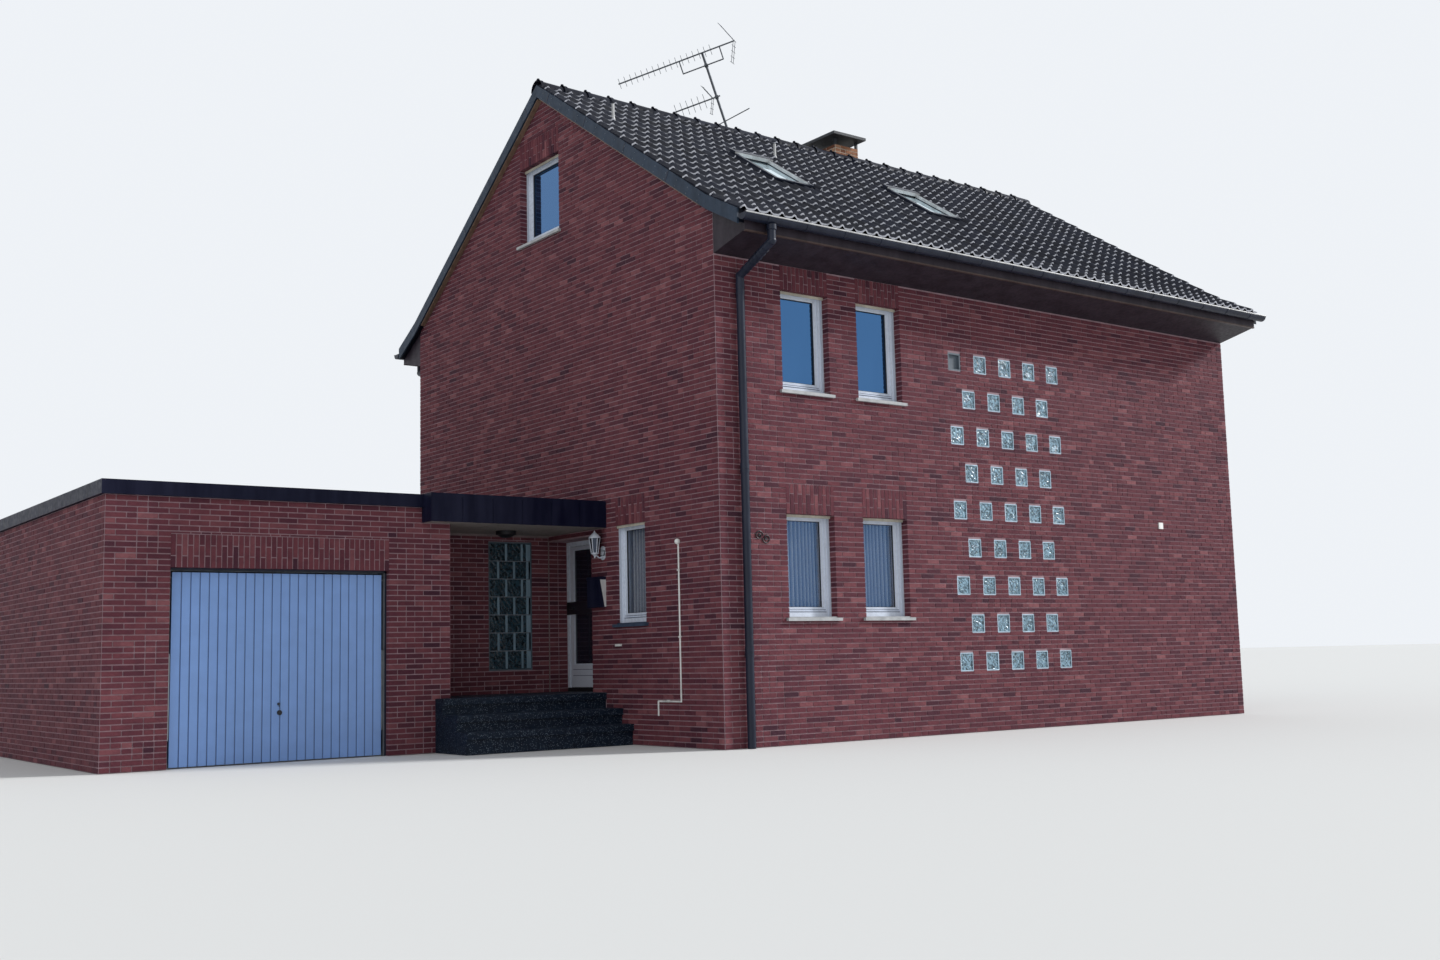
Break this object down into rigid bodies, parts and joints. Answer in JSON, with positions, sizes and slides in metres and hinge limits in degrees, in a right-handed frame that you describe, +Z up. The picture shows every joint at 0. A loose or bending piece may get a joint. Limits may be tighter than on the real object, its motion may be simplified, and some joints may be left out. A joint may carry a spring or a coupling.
{
  "type": "detached house",
  "caption": "Detached brick house with a dark tiled saddle roof, glass block pattern, covered porch and attached flat-roofed garage",
  "frame": {"origin": "at ground level, in the middle of the main block's footprint", "axes": "+X along the street front to the right, +Y away from the street, +Z up"},
  "size_m": [16.35, 9.524, 10.7979],
  "materials": {
    "concrete": "matte",
    "brick": "rough",
    "roof_tile": "satin",
    "slate_board": "matte",
    "stained_timber": "satin",
    "dark_metal": "satin",
    "roofing_felt": "matte",
    "white_frame": "gloss",
    "window_glass": "clear",
    "block_glass": "pressed",
    "sill_stone": "smooth",
    "step_stone": "speckled",
    "white_steel": "satin",
    "galvanised": "weathered",
    "white_plastic": "matte"
  },
  "bodies": {
    "house": {"ground_floor": "concrete", "upper_floors": "concrete", "front_wall": "brick", "rear_wall": "brick", "right_gable_wall": "brick", "left_gable_front": "brick", "left_gable_rear": "brick", "left_gable_upper": "brick", "door_lintel": "brick", "garage_piers": "brick", "garage_lintel": "brick", "garage_side_wall": "brick", "garage_rear_wall": "brick", "porch_side_wall": "brick", "porch_back_wall": "brick", "garage_floor": "concrete", "front_roof": "roof_tile", "rear_roof": "roof_tile", "ridge_tiles": "roof_tile", "verge_boards": "slate_board", "eaves_boxes": "stained_timber", "gutters": "dark_metal", "downpipes": "dark_metal", "flat_roof": "roofing_felt", "flat_roof_edge": "slate_board", "canopy_soffit": "stained_timber", "canopy_fascia": "slate_board", "chimney_stack": "brick", "chimney_cover": "dark_metal", "roof_window_frames": "dark_metal", "roof_window_panes": "window_glass", "window_frames": "white_frame", "window_sashes": "white_frame", "window_panes": "window_glass", "window_sills": "sill_stone", "front_glass_blocks": "block_glass", "vent_block": "dark_metal", "porch_glass_frame": "white_frame", "porch_glass_blocks": "block_glass", "landing": "step_stone", "entrance_steps": "step_stone", "door_frame": "white_frame", "garage_door_track": "galvanised", "lantern": "white_steel", "letterbox": "dark_metal", "wall_conduit": "white_plastic", "aerial_mast": "galvanised", "yagi_aerials": "galvanised"},
    "front_door": {"door_leaf": "white_frame", "door_pane": "window_glass"},
    "garage_trolley": {"garage_trolley": "galvanised"},
    "garage_door": {"garage_leaf": "white_steel"},
    "garage_arms": {"garage_arms": "galvanised"}
  },
  "joints": [
    {"name": "front_door_hinge", "type": "hinge", "parent": "house", "child": "front_door", "pos_m": [-4.66, -1.0845, 0.64], "axis": [0, 0, -1], "range_deg": [0, 90]},
    {"name": "garage_door_slide", "type": "slide", "parent": "house", "child": "garage_trolley", "axis": [0, 1, 0], "range_m": [0, 1.4]},
    {"name": "garage_door_tilt", "type": "hinge", "parent": "garage_trolley", "child": "garage_door", "pos_m": [-9.205, -1.145, 2.06], "axis": [-1, 0, 0], "range_deg": [0, 90]},
    {"name": "garage_arm_swing", "type": "hinge", "parent": "house", "child": "garage_arms", "pos_m": [-9.205, -1.145, 1.22], "axis": [-1, 0, 0], "range_deg": [0, 157.4]}
  ],
  "couplings": [
    {"joint": "garage_door_tilt", "follows": "garage_door_slide", "rad_per_m": 1.122},
    {"joint": "garage_arm_swing", "follows": "garage_door_slide", "rad_per_m": 1.9622}
  ]
}
